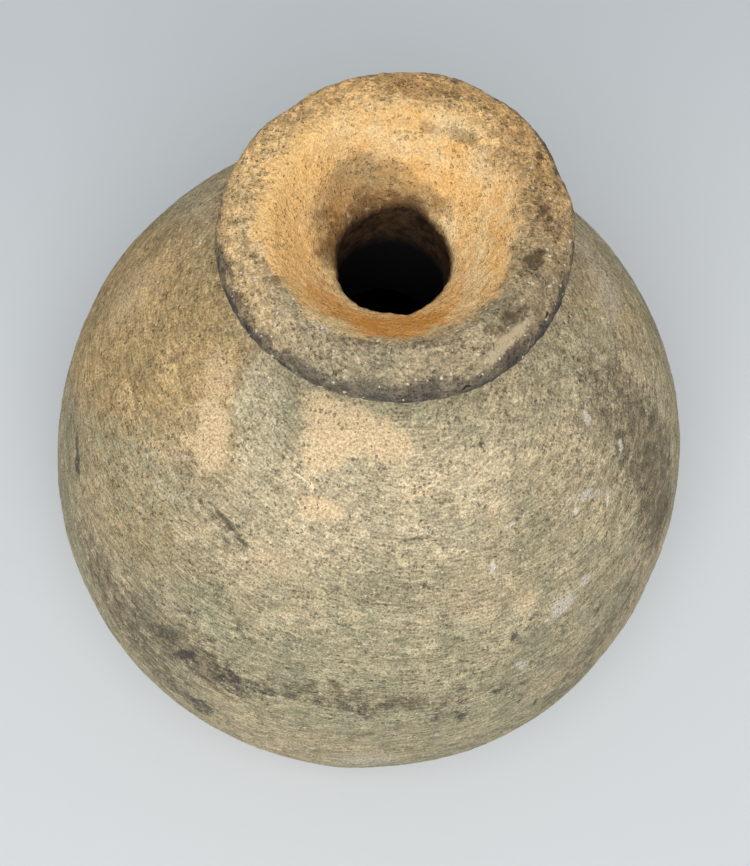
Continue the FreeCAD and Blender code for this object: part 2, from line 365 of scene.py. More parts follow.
# Wiping strokes: fine streaks left by a wet hand drawn round the pot. They
# run round the upright axis and drift a little up and down.
wipe, take, give = new_group(
    "wiping_strokes", {"Place": "Vector"}, {"Streaks": "Float", "Bands": "Float", "Broken": "Float"}
)
wipe.links.new(cloud(wipe, take["Place"], 2.4, 4.0, 0.75), give["Broken"])
apart = put(wipe, "SeparateXYZ", {0: take["Place"]}).outputs
out = maths(wipe, "MAXIMUM", from_axis(wipe, apart), 0.5)
level = maths(wipe, "ARCTAN2", minus(wipe, apart[2], BELLY), out)
turn = maths(wipe, "ARCTAN2", apart[1], apart[0])
drift = maths(wipe, "SINE", plus(wipe, times(wipe, turn, 2.0), times(wipe, level, 3.0)))
up_the_wall = plus(wipe, times(wipe, level, 70.0), times(wipe, drift, 3.5))
round_x = maths(wipe, "DIVIDE", apart[0], out)
round_y = maths(wipe, "DIVIDE", apart[1], out)
for label, along, across in (("Streaks", 15.0, 1.8), ("Bands", 3.2, 0.2)):
    spread = put(wipe, "CombineXYZ", {
        0: times(wipe, round_x, along), 1: times(wipe, round_y, along),
        2: times(wipe, up_the_wall, across),
    }).outputs[0]
    wipe.links.new(cloud(wipe, spread, 1.0, 4.0, 0.7), give[label])


# Wear of the marks: a noise between 0 and 1 eats into them where they are
# weak, and what is left shows at most as a share.
worn, take, give = new_group(
    "worn_marks",
    {"Marks": "Float", "Broken": "Float", "Wear": "Float", "Most": "Float"},
    {"Share": "Float"},
)
eaten = times(worn, minus(worn, take["Broken"], 0.5), take["Wear"])
eaten = plus(worn, take["Marks"], eaten)
least = plus(worn, times(worn, take["Wear"], 0.28), 0.12)
worn.links.new(times(worn, ramp(worn, eaten, least, 0.95), take["Most"]), give["Share"])

# Texture of wiped clay over a colour: lighter and greyer mottles, strokes
# drawn round the pot, and thin cracks along them.
wiped, take, give = new_group("wiped_texture", {
    "Colour": "Color", "Place": "Vector", "Streaks": "Float", "Bands": "Float", "Broken": "Float",
}, {"Colour": "Color"})
mottle = ramp(wiped, cloud(wiped, take["Place"], 6.5, 5.0, 0.7), 0.42, 0.6)
mottle = blend(wiped, mottle, (1.05, 1.03, 1.01, 1), (0.87, 0.89, 0.89, 1))
tint = blend(wiped, 1.0, take["Colour"], mottle, "MULTIPLY")
patches = ramp(wiped, take["Broken"], 0.34, 0.66, 1.15, 0.85)
streaks = ramp(wiped, take["Streaks"], 0.3, 0.7, 0.68, 1.3)
bands = ramp(wiped, take["Bands"], 0.4, 0.62, 1.07, 0.88)
tone = times(wiped, times(wiped, patches, streaks), bands)
tint = blend(wiped, 1.0, tint, tone, "MULTIPLY")
off_crack = maths(wiped, "ABSOLUTE", minus(wiped, take["Bands"], 0.47))
cracked = ramp(wiped, take["Broken"], 0.47, 0.56)
crack = times(wiped, ramp(wiped, off_crack, 0.002, 0.011, 0.75, 0.0), cracked)
wiped.links.new(blend(wiped, crack, tint, clay(86, 76, 62)), give["Colour"])

# Grit laid over a colour: its tones, dark pits and white grains.
gritty, take, give = new_group("grit_over_colour", {
    "Colour": "Color", "Tone": "Float", "Pits": "Float", "Grains": "Float",
    "Strength": "Float", "Pitted": "Float", "White": "Float",
}, {"Colour": "Color"})
darkest = minus(gritty, 1.0, take["Strength"])
lightest = plus(gritty, 1.0, take["Strength"])
tone = ramp(gritty, take["Tone"], 0.3, 0.7, darkest, lightest, "LINEAR")
tint = blend(gritty, 1.0, take["Colour"], tone, "MULTIPLY")
tint = blend(gritty, times(gritty, take["Pits"], take["Pitted"]), tint, clay(84, 72, 54))
tint = blend(gritty, times(gritty, take["Grains"], take["White"]), tint, clay(230, 222, 202))
gritty.links.new(tint, give["Colour"])

# Clay inside the bottle, painted as shade: dark brown in the throat, and
# black below it where no light reaches. The bore is the clay close to the axis
# and above the belly, and the cavity is all within an egg round the middle of
# the belly.
BORE_EDGE = (13.4, 14.4)                # mm from the axis, where the bore's colour fades out
BORE_START = (60.0, 100.0)              # mm, heights above which clay near the axis is the bore
CAVITY_EDGE = (72.2, 73.1)              # mm from the belly's middle, inside the wall
BORE_SHADE_TOP = (170.5, 173.6)              # mm, heights where the painted brown shade ends
BLACK_TOP = (156.5, 163.0)              # mm, heights where the painted black shade turns to brown
inside_shade, take, give = new_group(
    "painted_shade_inside",
    {"Colour": "Color", "Place": "Vector", "Shaken": "Vector", "Broken": "Float"},
    {"Colour": "Color"},
)
apart = put(inside_shade, "SeparateXYZ", {0: take["Place"]}).outputs
out = from_axis(inside_shade, apart)
near_axis = ramp(inside_shade, out, *BORE_EDGE, 1.0, 0.0)
bore = times(inside_shade, near_axis, ramp(inside_shade, apart[2], *BORE_START))
level = minus(inside_shade, apart[2], BELLY)
egg = maths(inside_shade, "MAXIMUM", times(inside_shade, level, 0.92), times(inside_shade, level, -1.2))
from_middle = plus(inside_shade, times(inside_shade, egg, egg), times(inside_shade, out, out))
cavity = ramp(inside_shade, from_middle, CAVITY_EDGE[0] ** 2, CAVITY_EDGE[1] ** 2, 1.0, 0.0)
up = put(inside_shade, "SeparateXYZ", {0: take["Shaken"]}).outputs[2]
# Painted shade: brown down the throat, deepening to black lower in the bore and in the cavity.
in_bore = times(inside_shade, bore, ramp(inside_shade, up, *BORE_SHADE_TOP, 1.0, 0.0))
deep = times(inside_shade, bore, ramp(inside_shade, up, *BLACK_TOP, 1.0, 0.0))
bore_shade = blend(inside_shade, ramp(inside_shade, take["Broken"], 0.3, 0.7), clay(26, 19, 13), clay(84, 61, 40))
tint = blend(inside_shade, in_bore, take["Colour"], bore_shade)
tint = blend(inside_shade, maths(inside_shade, "MAXIMUM", deep, cavity), tint, clay(1, 1, 1))
inside_shade.links.new(tint, give["Colour"])


BROAD = 1.6          # mm, half width from which a mark's edge is ragged and not just shaken


def lay_marks(tree, spots, rows, flat=False):
    """Lays a list of marks: place x, y, z, lean, half length, half width, edge and strength."""
    marks = 0.0
    for x, y, z, lean, long, wide, edge, strength in rows:
        centre = Vector((x, y, z))
        up = Vector((0, 0, 1)) if flat else (centre - Vector((0, 0, BELLY))).normalized()
        east = Vector((1, 0, 0)) if flat else Vector((-y, x, 0)).normalized()
        north = up.cross(east)
        along = east * math.cos(math.radians(lean)) + north * math.sin(math.radians(lean))
        if wide > long:
            along, long, wide = up.cross(along), wide, long
        marks = use_group(tree, mark, {
            "Place": spots["Ragged"] if wide >= BROAD else spots["Shaken"], "Centre": centre,
            "Along": along * math.sqrt(1 - (wide / long) ** 2), "Strength": strength, "Marks": marks,
            "Inner": (wide * (1 - edge)) ** 2, "Outer": (wide * (1 + edge)) ** 2,
        })["Marks"]
    return marks


def wear_off(tree, marks, broken, wear, most):
    """What wear leaves of marks, as a share."""
    feeds = {"Marks": marks, "Broken": broken, "Wear": wear, "Most": most}
    return use_group(tree, worn, feeds)["Share"]


def stained(tree, tint, spots, broken, stains, flat=False):
    """Lays stains over a tint, each a list of marks with its colour, wear and greatest share."""
    for rows, colour, wear, most in stains:
        marks = lay_marks(tree, spots, rows, flat)
        tint = blend(tree, wear_off(tree, marks, broken, wear, most), tint, colour)
    return tint


def wiped_over(tree, tint, spots, strokes):
    """Texture of wiped clay over a tint."""
    feeds = {label: strokes[label] for label in ("Streaks", "Bands", "Broken")}
    return use_group(tree, wiped, {"Colour": tint, "Place": spots["Place"], **feeds})["Colour"]


def with_grit(tree, tint, grain, strength, pitted, white):
    """Grit over a tint: how strong its tones are, how dark its pits and how white its grains."""
    feeds = {label: grain[label] for label in ("Tone", "Pits", "Grains")}
    feeds.update({"Colour": tint, "Strength": strength, "Pitted": pitted, "White": white})
    return use_group(tree, gritty, feeds)["Colour"]


# Stains on the wiped clay of the body, laid one by one: zones where the fire
# turned it browner or greyer, pale zones that are partly painted light where the
# body faces the lamp, greyer zones at its edges and low down that are partly
# painted shade, ochre where the slip is left, and greenish, sooty and chalky
# marks. A row has the mark's place in mm, its lean
# in degrees, half its length and width in mm, softness of edge and strength.
# Pale zones: partly painted light on the middle of the body that faces the lamp.
PALE_AND_LIT = [
    (4, -36, 138, 0, 26.0, 13.0, 0.9, 0.9),
    (-14, -47, 130, 0, 16.0, 8.0, 0.9, 0.6),
    (-50, -10, 125, 0, 18.0, 8.0, 0.9, 0.25),
]
TAN = [
    (-56, 6, 118, 60, 36.0, 20.0, 0.9, 1.0),
    (-48, -13, 130, 36, 26.0, 12.0, 0.9, 0.8),
    (-30, 30, 134, 0, 20.0, 14.0, 0.9, 0.7),
    (50, 20, 125, 90, 20.0, 12.0, 0.9, 0.6),
    (-52, -34, 108, 10, 26.0, 16.0, 0.9, 0.6),
    (-44, -50, 84, -10, 24.0, 12.0, 0.9, 0.45),
    (-20, 66, 90, 0, 70.0, 46.0, 0.9, 0.6),
    (-8, 14, 158, 0, 20.0, 16.0, 0.9, 0.5),
]
OLIVE = [
    (8, -66, 102, 0, 50.0, 17.0, 0.9, 0.95),
    (-36, -54, 100, -40, 16.0, 9.0, 0.9, 0.45),
    (46, -44, 108, 30, 22.0, 12.0, 0.9, 0.7),
]
# Greyer zones at the body's edges and low down: partly grey clay, partly painted shade where less light
# reaches.
GREY_AND_SHADE = [
    (62, -12, 108, 75, 32.0, 9.0, 0.9, 0.9),
    (52, -16, 122, 60, 17.0, 11.0, 0.9, 0.55),
    (-64, 12, 106, 80, 26.0, 9.0, 0.9, 0.55),
    (-50, -55, 80, -30, 26.0, 10.0, 0.9, 0.8),
    (56, -44, 78, 40, 26.0, 8.0, 0.9, 0.7),
    (-30, -62, 98, -25, 20.0, 6.0, 0.9, 0.65),
    (-36, -60, 94, -14, 16.0, 8.0, 0.9, 0.9),
    (5, -69, 98, -6, 26.0, 4.0, 0.9, 0.75),
    (30, -62, 95, 10, 17.0, 4.0, 0.9, 0.6),
    (-54, 30, 114, 60, 18.0, 8.0, 0.9, 0.5),
]
OCHRE = [
    (-43, -27, 127, 10, 6.0, 4.0, 0.9, 0.45),
    (-37, -27, 132, -50, 4.6, 2.6, 0.7, 0.55),
    (-3, -24, 143, -19, 12.0, 4.7, 0.5, 1.0),
    (-9, -29, 141, 4, 4.7, 6.1, 0.5, 1.0),
    (6, -25, 142, -51, 3.9, 2.2, 0.4, 0.9),
    (-8, -40, 136, 13, 4.6, 2.6, 0.5, 0.95),
    (-34, -14, 138, -16, 5.9, 3.6, 0.5, 0.7),
    (-33, -26, 135, -35, 7.6, 4.0, 0.4, 1.0),
    (-38, -27, 132, 30, 2.5, 1.5, 0.6, 0.9),
    (11, -35, 138, 8, 3.0, 0.9, 0.6, 0.8),
    (24, -14, 141, -33, 2.4, 0.8, 0.6, 0.6),
    (-17, -50, 127, -1, 7.0, 4.6, 0.8, 0.55),
    (-57, 10, 121, -46, 9.1, 7.0, 0.9, 0.6),
    (37, -48, 117, -13, 3.1, 2.1, 0.6, 0.7),
    (25, -51, 123, -11, 6.6, 7.5, 0.9, 0.5),
]
GREENISH = [
    (-23, -22, 140, -37, 13.0, 6.2, 0.4, 0.95),
    (-3, -33, 140, -79, 5.5, 3.5, 0.6, 0.7),
    (22, -21, 141, -50, 8.9, 4.2, 0.8, 0.7),
    (5, -35, 139, -48, 3.1, 2.2, 0.6, 0.6),
    (-41, -54, 103, -58, 10.9, 8.0, 0.9, 0.6),
    (7, -58, 120, -2, 12.5, 3.2, 0.9, 0.6),
    (-23, -40, 132, -59, 5.2, 3.3, 0.8, 0.6),
    (21, -52, 123, -74, 11.4, 6.2, 0.9, 0.5),
]
SOOT = [
    (-29, -43, 127, -7, 10.4, 2.2, 0.95, 0.62),
    (-17, -35, 137, -9, 5.2, 1.7, 0.9, 0.55),
    (-65, -22, 101, -10, 4.0, 2.2, 0.6, 0.9),
    (-67, -14, 100, 16, 6.3, 1.6, 0.7, 0.6),
    (-61, -35, 96, -39, 10.1, 1.5, 0.7, 0.55),
    (-35, -62, 92, -32, 2.9, 5.0, 0.7, 0.9),
    (-40, -58, 94, -18, 2.3, 4.5, 0.8, 0.75),
    (-35, -57, 106, -36, 1.3, 2.0, 0.8, 0.7),
    (-24, -67, 93, 15, 4.2, 4.0, 0.8, 0.8),
    (-16, -69, 95, 2, 4.7, 2.7, 0.8, 0.8),
    (-8, -70, 95, 6, 4.3, 1.6, 0.8, 0.75),
    (7, -71, 93, -24, 2.5, 3.0, 0.8, 0.75),
    (1, -71, 95, -9, 5.2, 1.6, 0.8, 0.6),
    (36, -54, 109, -65, 2.8, 1.4, 0.8, 0.75),
    (25, -61, 108, -76, 2.4, 1.1, 0.8, 0.7),
    (22, -69, 88, -59, 1.5, 1.3, 0.7, 0.9),
    (27, -67, 88, -49, 2.5, 2.0, 0.7, 0.85),
    (26, -67, 91, -9, 3.9, 5.3, 0.9, 0.6),
    (34, -62, 93, -17, 2.2, 2.4, 0.8, 0.75),
    (37, -61, 90, -13, 0.8, 1.3, 0.7, 0.8),
    (41, -61, 83, -16, 1.1, 2.1, 0.7, 0.75),
    (45, -59, 76, -12, 1.1, 2.6, 0.7, 0.75),
    (56, -42, 97, -90, 2.8, 1.7, 0.8, 0.75),
    (57, -44, 91, -85, 2.4, 1.3, 0.8, 0.75),
    (43, -57, 93, -4, 1.9, 2.2, 0.8, 0.6),
    (-31, -68, 70, -7, 3.0, 4.9, 0.7, 0.85),
    (-20, -35, 136, -36, 1.3, 1.5, 0.9, 0.6),
    (48, -49, 100, 18, 2.3, 5.1, 0.9, 0.6),
    (-27, -57, 114, 51, 5.8, 6.1, 0.9, 0.5),
]
LINES = [
    (-33, -38, 129, 5, 4.8, 0.5, 0.9, 0.95),
    (-26, -44, 128, -16, 6.5, 0.6, 0.9, 0.95),
    (-43, -53, 101, -16, 10.7, 0.8, 0.9, 0.55),
    (-53, -39, 108, -17, 12.2, 0.7, 0.9, 0.5),
    (-38, -44, 121, -25, 12.7, 0.4, 0.9, 0.5),
    (5, -55, 124, -2, 9.2, 0.4, 0.9, 0.6),
    (-10, -63, 111, -4, 7.6, 0.5, 0.9, 0.55),
    (6, -55, 124, -4, 2.9, 0.5, 0.5, 0.9),
    (0, -55, 125, -32, 0.9, 0.6, 0.7, 0.8),
    (-1, -60, 119, -11, 0.8, 0.6, 0.7, 0.8),
    (14, -38, 136, 30, 1.1, 0.4, 0.5, 0.95),
    (18, -37, 136, -33, 1.1, 0.3, 0.5, 0.95),
    (11, -43, 133, 3, 2.5, 0.4, 0.8, 0.8),
    (23, -23, 140, -90, 0.7, 0.6, 0.6, 0.9),
    (-38, -22, 134, 8, 0.9, 0.6, 0.5, 0.95),
]
CHALK = [
    (-40, -30, 129, 54, 3.2, 0.5, 0.8, 0.85),
    (-40, -28, 130, -24, 1.5, 0.5, 0.8, 0.8),
    (-21, -30, 138, -59, 1.3, 0.4, 0.7, 0.75),
    (29, -45, 126, 74, 1.7, 0.6, 0.6, 0.95),
    (31, -37, 131, -7, 2.0, 0.6, 0.8, 0.8),
    (34, -34, 131, 4, 0.9, 0.4, 0.7, 0.75),
    (46, -46, 110, 12, 3.1, 2.3, 0.8, 0.75),
    (50, -40, 111, 16, 1.5, 1.6, 0.8, 0.75),
    (48, 22, 127, -25, 9.9, 5.0, 0.9, 0.5),
    (51, -24, 123, -46, 11.6, 1.1, 0.9, 0.5),
    (9, -74, 64, -19, 7.4, 5.3, 0.8, 0.55),
    (-23, -49, 125, 20, 0.7, 0.5, 0.7, 0.75),
    (2, -33, 140, 43, 0.8, 0.5, 0.7, 0.7),
    (-4, -63, 114, -50, 1.6, 0.4, 0.6, 0.75),
    (39, -57, 99, -70, 2.6, 1.2, 0.7, 0.65),
    (45, -11, 132, 60, 1.5, 1.0, 0.7, 0.8),
    (53.5, -13, 124, 40, 1.4, 0.9, 0.7, 0.8),
    (47, -26, 126, -10, 1.9, 0.9, 0.8, 0.75),
    (45, -29.5, 125.5, 20, 0.7, 0.6, 0.6, 0.95),
    (57, -31, 110, 35, 2.2, 0.5, 0.7, 0.85),
    (43, -49.5, 109, 0, 0.8, 0.6, 0.6, 0.9),
    (52, -24, 121, 40, 2.4, 0.4, 0.7, 0.8),
    (54, -40, 105, 30, 3.0, 0.5, 0.7, 0.75),
    (49, -35, 121, 25, 2.2, 0.4, 0.7, 0.75),
]


def clay_shell(name, coarse):
    """A new clay material with its places, strokes and grit laid ready."""
    made = bpy.data.materials.new(name)
    made.use_nodes = True
    tree = made.node_tree
    spots = places_on(tree)
    strokes = use_group(tree, wipe, {"Place": spots["Place"]})
    feeds = {"Place": spots["Place"], "Shaken": spots["Shaken"], "Coarse": coarse}
    grain = use_group(tree, grit, feeds)
    broad = ramp(tree, cloud(tree, spots["Place"], 30.0, 2.0, 0.55), 0.38, 0.62)
    tint = blend(tree, broad, clay(196, 180, 147), clay(178, 168, 137))
    return made, tree, spots, strokes, grain, tint


def finish_clay(tree, spots, broken, grain, tint, depth):
    """Paints shade inside the bottle, then feeds the shader, with the grit as its relief in mm."""
    feeds = {"Colour": tint, "Place": spots["Place"], "Shaken": spots["Shaken"], "Broken": broken}
    shader = tree.nodes["Principled BSDF"]
    tree.links.new(use_group(tree, inside_shade, feeds)["Colour"], shader.inputs["Base Color"])
    tree.links.new(grain["Roughness"], shader.inputs["Roughness"])
    shader.inputs["Specular IOR Level"].default_value = 0.2
    relief = put(tree, "Bump", {"Strength": 1.0, "Distance": depth / 1000, "Height": grain["Height"]})
    tree.links.new(relief.outputs[0], shader.inputs["Normal"])


wiped_clay, tree, spots, strokes, grain, tint = clay_shell("wiped_clay", 1.0)
broken = strokes["Broken"]
# Painted light and shade lie among these zones: the pale ones lighten the middle facing the lamp, the
# grey ones darken the edges and lower body.
tint = stained(tree, tint, spots, broken, (
    (PALE_AND_LIT, clay(222, 204, 170), 0.7, 0.6), (TAN, clay(204, 172, 120), 0.9, 0.8),
    (OLIVE, clay(176, 169, 138), 0.8, 0.65), (GREY_AND_SHADE, clay(120, 107, 87), 1.2, 0.75),
    (GREENISH, clay(206, 194, 162), 0.9, 0.8),
))
tint = stained(tree, wiped_over(tree, tint, spots, strokes), spots, broken, (
    (OCHRE, clay(242, 213, 170), 0.8, 0.72),
    (SOOT, clay(76, 72, 66), 1.3, 0.78), (LINES, clay(78, 70, 58), 0.5, 0.75),
    (CHALK, clay(232, 222, 206), 0.5, 0.85),
))
tint = with_grit(tree, tint, grain, 0.55, 0.55, 0.85)
finish_clay(tree, spots, broken, grain, tint, 0.2)


base_section = joined(
    slip((PIN_RADIUS, SKIN), (FOOT_RADIUS, SKIN), 6),
    bow(LOW_BOW, FOOT_LEAN, BASE_SEAM, 13, SKIN),
    [BOWL_EDGE],
    bow(FLOOR_BOW, *FLOOR_LEANS, 8),
)
base_bowl = draw_up("base_bowl_clay", base_section, closed=False)
fire(base_bowl, BODY_PRESSES)
close_middle(base_bowl)
base_bowl.data.materials.append(wiped_clay)
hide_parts("base_bowl")
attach(base_bowl, "root")


# Wall rings. Four flat rings of the same clay, stacked on the bowl one after
# another and luted along bevelled seams that were smeared over and wiped
# smooth with wet hands: the lower wall, belly, upper wall and shoulder.

WALL = 6.0           # mm, thickness of the wall
LAP = 4.0            # mm that each seam runs down inside the wall
SIDE_BOW = (-35.0, BELLY, 110.0)        # curve of the wall above the belly
SHOULDER_BOW = (9.363, 82.327, 62.0)    # tighter curve of the shoulder
LOWER_SEAM = -24.28  # degrees on these curves at the seams, from the base up
BELLY_SEAM = 0.0
SIDE_SEAM = 22.45
CAP_SEAM = 50.26


def wall_section(curve, low, high, steps, low_curve=None):
    """Half section of a ring: the outside, the top seam, the inside and the bottom seam."""
    inner = curve[2] - WALL
    drop = math.degrees(LAP / inner)
    first = low_curve or curve
    first_drop = math.degrees(LAP / (first[2] - WALL))
    low_out = bow(first, low, low, 1, SKIN)[0]
    low_in = bow(first, low - first_drop, low, 1, WALL)[0]
    outside = [low_out] + bow(curve, low, high, steps, SKIN)[1:]
    inside = bow(curve, high - drop, low - drop, steps // 3, WALL)
    inside = inside[:-1] + [low_in]
    return joined(outside, inside)


wall_rings = [
    ("lower_wall", wall_section(LOW_BOW, BASE_SEAM, LOWER_SEAM, 12)),
    ("belly_wall", wall_section(LOW_BOW, LOWER_SEAM, BELLY_SEAM, 12)),
    ("upper_wall", wall_section(SIDE_BOW, BELLY_SEAM, SIDE_SEAM, 18, LOW_BOW)),
    ("shoulder_wall", wall_section(SHOULDER_BOW, SIDE_SEAM, CAP_SEAM, 13, SIDE_BOW)),
]
for node_name, section in wall_rings:
    ring = draw_up(node_name + "_clay", section)
    fire(ring, BODY_PRESSES)
    ring.data.materials.append(wiped_clay)
    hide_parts(node_name)
    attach(ring, "root")


# Shoulder cap, neck coil and neck tube. The cap closes the body but for a
# socket, the tube stands in the socket, and a thin coil pressed into the
# corner between them was smoothed to the hollow curve under the mouth.

BORE_RADIUS = 11.2   # mm
NECK_RADIUS = 17.0 - SKIN            # mm, outside of the neck
SPIGOT_RADIUS = 15.0                 # mm, tube inside its socket and coil
NECK_FOOT = 136.04   # mm, height of the tube's lower end
SOCKET_FOOT = 138.04                 # mm, height of the socket's lower end
SEAT_TOP = 142.06    # mm, height where the coil meets cap and tube
ROOT_TOP = 156.66    # mm, top of the hollow curve
NECK_TOP = 164.96    # mm, top of the straight neck
THROAT = 169.93      # mm, top of the bore
ROOT_BOW = (33.0, ROOT_TOP, 16.0)       # hollow curve from shoulder to neck
COIL_SEAT = 2.0      # mm that the coil is pressed into the cap
SEAT_LEANS = (72.36, 84.6)              # degrees on the shoulder curve that the coil covers
SOCKET_LEAN = 84.22  # degrees on that curve, inside, at the socket
CAP_DROP = 4.09      # degrees that the cap's seam falls on its way in
COIL_GRIT = 0.33     # mm, roughness of each piece, growing towards the mouth
NECK_GRIT = 0.42
MOUTH_GRIT = 0.5

# Flats and hollows of the neck and mouth, from the lip down into the bore.
MOUTH_PRESSES = [
    ((-33, 8, 184), (1.1, -0.3, 0), 34),
    ((34, -6, 184), (-0.6, 0, 0), 24),
    ((0, -34, 184), (0, 0.6, 0), 28),
    ((12, 33, 184), (0.4, 1.5, 0), 32),
    ((30, 17, 187), (-0.9, -0.5, -0.5), 6),
    ((-23, 23, 186), (0.5, -0.6, 0), 7),
    ((3, 33, 186), (0, 0.35, 0), 7),
    ((14, 31, 186), (-0.2, -0.45, 0), 8),
    ((-10, 14, 178), (-0.7, 0.9, -1.1), 9),
    ((2, 12, 171), (0, 1.1, 0), 7),
    ((-11.5, -2, 170), (0.6, 0.1, 0), 6),
    ((0, -11.5, 171), (0, 0.4, 0), 6),
    ((11, 0, 161), (-0.6, 0, 0), 8),
    ((4, -11, 172), (0.1, -0.4, 0), 3.5),
]
coil_start, coil_end = SEAT_LEANS
cap_section = joined(
    bow(SHOULDER_BOW, CAP_SEAM, coil_start, 10, SKIN),
    bow(SHOULDER_BOW, coil_start, coil_end, 6, COIL_SEAT),
    [(SPIGOT_RADIUS, SOCKET_FOOT)],
    bow(SHOULDER_BOW, SOCKET_LEAN, CAP_SEAM - CAP_DROP, 7, WALL),
)
coil_section = joined(
    bow(ROOT_BOW, 180.0 + coil_start, 180.0, 10, -SKIN),
    slip((SPIGOT_RADIUS, ROOT_TOP), (SPIGOT_RADIUS, SEAT_TOP), 3),
    bow(SHOULDER_BOW, coil_end, coil_start, 6, COIL_SEAT),
)
tube_section = joined(
    slip((SPIGOT_RADIUS, NECK_FOOT), (SPIGOT_RADIUS, ROOT_TOP), 4),
    slip((NECK_RADIUS, ROOT_TOP), (NECK_RADIUS, NECK_TOP), 4),
    slip((NECK_RADIUS, NECK_TOP), (BORE_RADIUS, THROAT), 2),
    slip((BORE_RADIUS, THROAT), (BORE_RADIUS, NECK_FOOT), 12),
)
neck_pieces = [
    ("shoulder_cap", cap_section, BODY_GRIT),
    ("neck_coil", coil_section, COIL_GRIT),
    ("neck_tube", tube_section, NECK_GRIT),
]
for node_name, section, rough in neck_pieces:
    part = draw_up(node_name + "_clay", section)
    fire(part, BODY_PRESSES + MOUTH_PRESSES, rough)
    part.data.materials.append(wiped_clay)
    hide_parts(node_name)
    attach(part, "root")


# Mouth flare and lip coil. The trumpet of the mouth was drawn open on the
# neck, hollow under and a smooth ochre funnel inside, and a coil of gritty
# clay was rolled round its edge and rounded over for the lip.

LIP_RADIUS = 31.7    # mm, where the lip starts to round over
CREST_RADIUS = 26.2  # mm, highest ring of the mouth
CREST_TOP = 187.53   # mm, its height
UNDER_CREST = 178.9  # mm, height of the flare's outside below it
FLARE_BOW = (LIP_RADIUS, NECK_TOP, 14.7)        # hollow curve under the mouth
EDGE_BOW = (LIP_RADIUS, 183.16, 3.5)            # outer edge of the lip
CROWN_BOW = (CREST_RADIUS, 171.93, 16.0)        # top of the lip
CREST_BOW = (CREST_RADIUS, 183.93, 4.0)         # from the crest into the funnel
THROAT_BOW = (16.2, THROAT, 5.0)                # from the funnel into the bore
FLARE_END = 111.97   # degrees on the hollow curve under the crest
CROWN_LEAN = 63.9    # degrees where the edge runs into the top of the lip
FUNNEL_LEAN = 141.1  # degrees where the roundings run into the funnel

# The clay of the mouth: an ochre funnel that runs out over the crest into a
# worn, gritty grey-brown lip full of white grains and pits. Its marks are
# rows like the body's, laid as seen from above.
ORANGE = [
    (2, -17, 180, 10, 9.4, 7.3, 0.5, 0.9),
    (-10, -14, 179, -66, 7.2, 6.4, 0.6, 0.7),
    (13, -6, 175, 70, 3.9, 3.0, 0.7, 0.5),
    (-13, 7, 176, 56, 3.8, 2.6, 0.7, 0.7),
    (0, 26, 188, 16, 1.3, 1.1, 0.6, 0.7),
    (-4, 22, 187, -61, 2.0, 0.7, 0.7, 0.4),
    (-30, 5, 187, 47, 1.2, 1.4, 0.5, 0.9),
    (-31, 2, 187, 58, 1.2, 1.4, 0.8, 0.5),
]
# Smoke above the throat and by the far crest, partly painted shade of the funnel's steep far wall.
SMOKE_AND_SHADE = [
    (-8, 13, 175.5, 20, 8.0, 5.0, 0.98, 0.95),
    (-13, 6, 175, 80, 7.0, 4.8, 0.98, 0.7),
    (4, 14, 174.5, -15, 7.0, 2.6, 0.98, 0.75),
    (4, 22, 186, -10, 2.4, 1.4, 0.8, 1.0),
    (10, 21, 186.5, -12, 3.6, 1.4, 0.8, 1.0),
    (17, 16, 187, -20, 2.0, 1.4, 0.8, 0.8),
]
BROWN = [
    (3, 31, 187, -1, 9.9, 2.3, 0.7, 0.9),
    (-14, 28, 187, 27, 6.1, 1.9, 0.8, 0.7),
    (18, 26, 187, -35, 6.4, 2.7, 0.8, 0.7),
    (28, 16, 187, -61, 5.9, 1.8, 0.8, 0.8),
    (-24, 19, 187, 44, 4.5, 1.4, 0.8, 0.5),
]
SCORCH = [
    (27, -4, 188, -27, 1.7, 1.7, 0.6, 1.0),
    (22, -1, 186, -28, 2.3, 0.9, 0.7, 0.8),
    (26, 19, 187, -1, 1.7, 1.0, 0.6, 0.9),
    (22, 21, 187, -41, 1.4, 1.2, 0.7, 0.7),
    (-23, 14, 188, 74, 1.0, 0.6, 0.6, 0.8),
    (-26, -10, 188, 38, 0.9, 0.7, 0.6, 0.9),
    (-22, -13, 188, -50, 3.2, 1.6, 0.8, 0.75),
    (21, -18, 188, 40, 6.1, 1.9, 0.7, 0.75),
    (10, -23, 188, 11, 6.5, 1.2, 0.9, 0.75),
    (-4, -25, 188, -2, 7.3, 1.1, 0.9, 0.72),
    (28, 5, 188, -68, 6.5, 2.0, 0.9, 0.8),
]
CREAM = [
    (23, -21, 187, 53, 7.2, 1.3, 0.6, 0.9),
    (14, -26, 187, -3, 3.8, 0.9, 0.8, 0.4),
    (27, -9, 188, 62, 4.9, 1.1, 0.8, 0.6),
    (-18, -22, 188, 59, 1.2, 0.5, 0.5, 0.8),
]
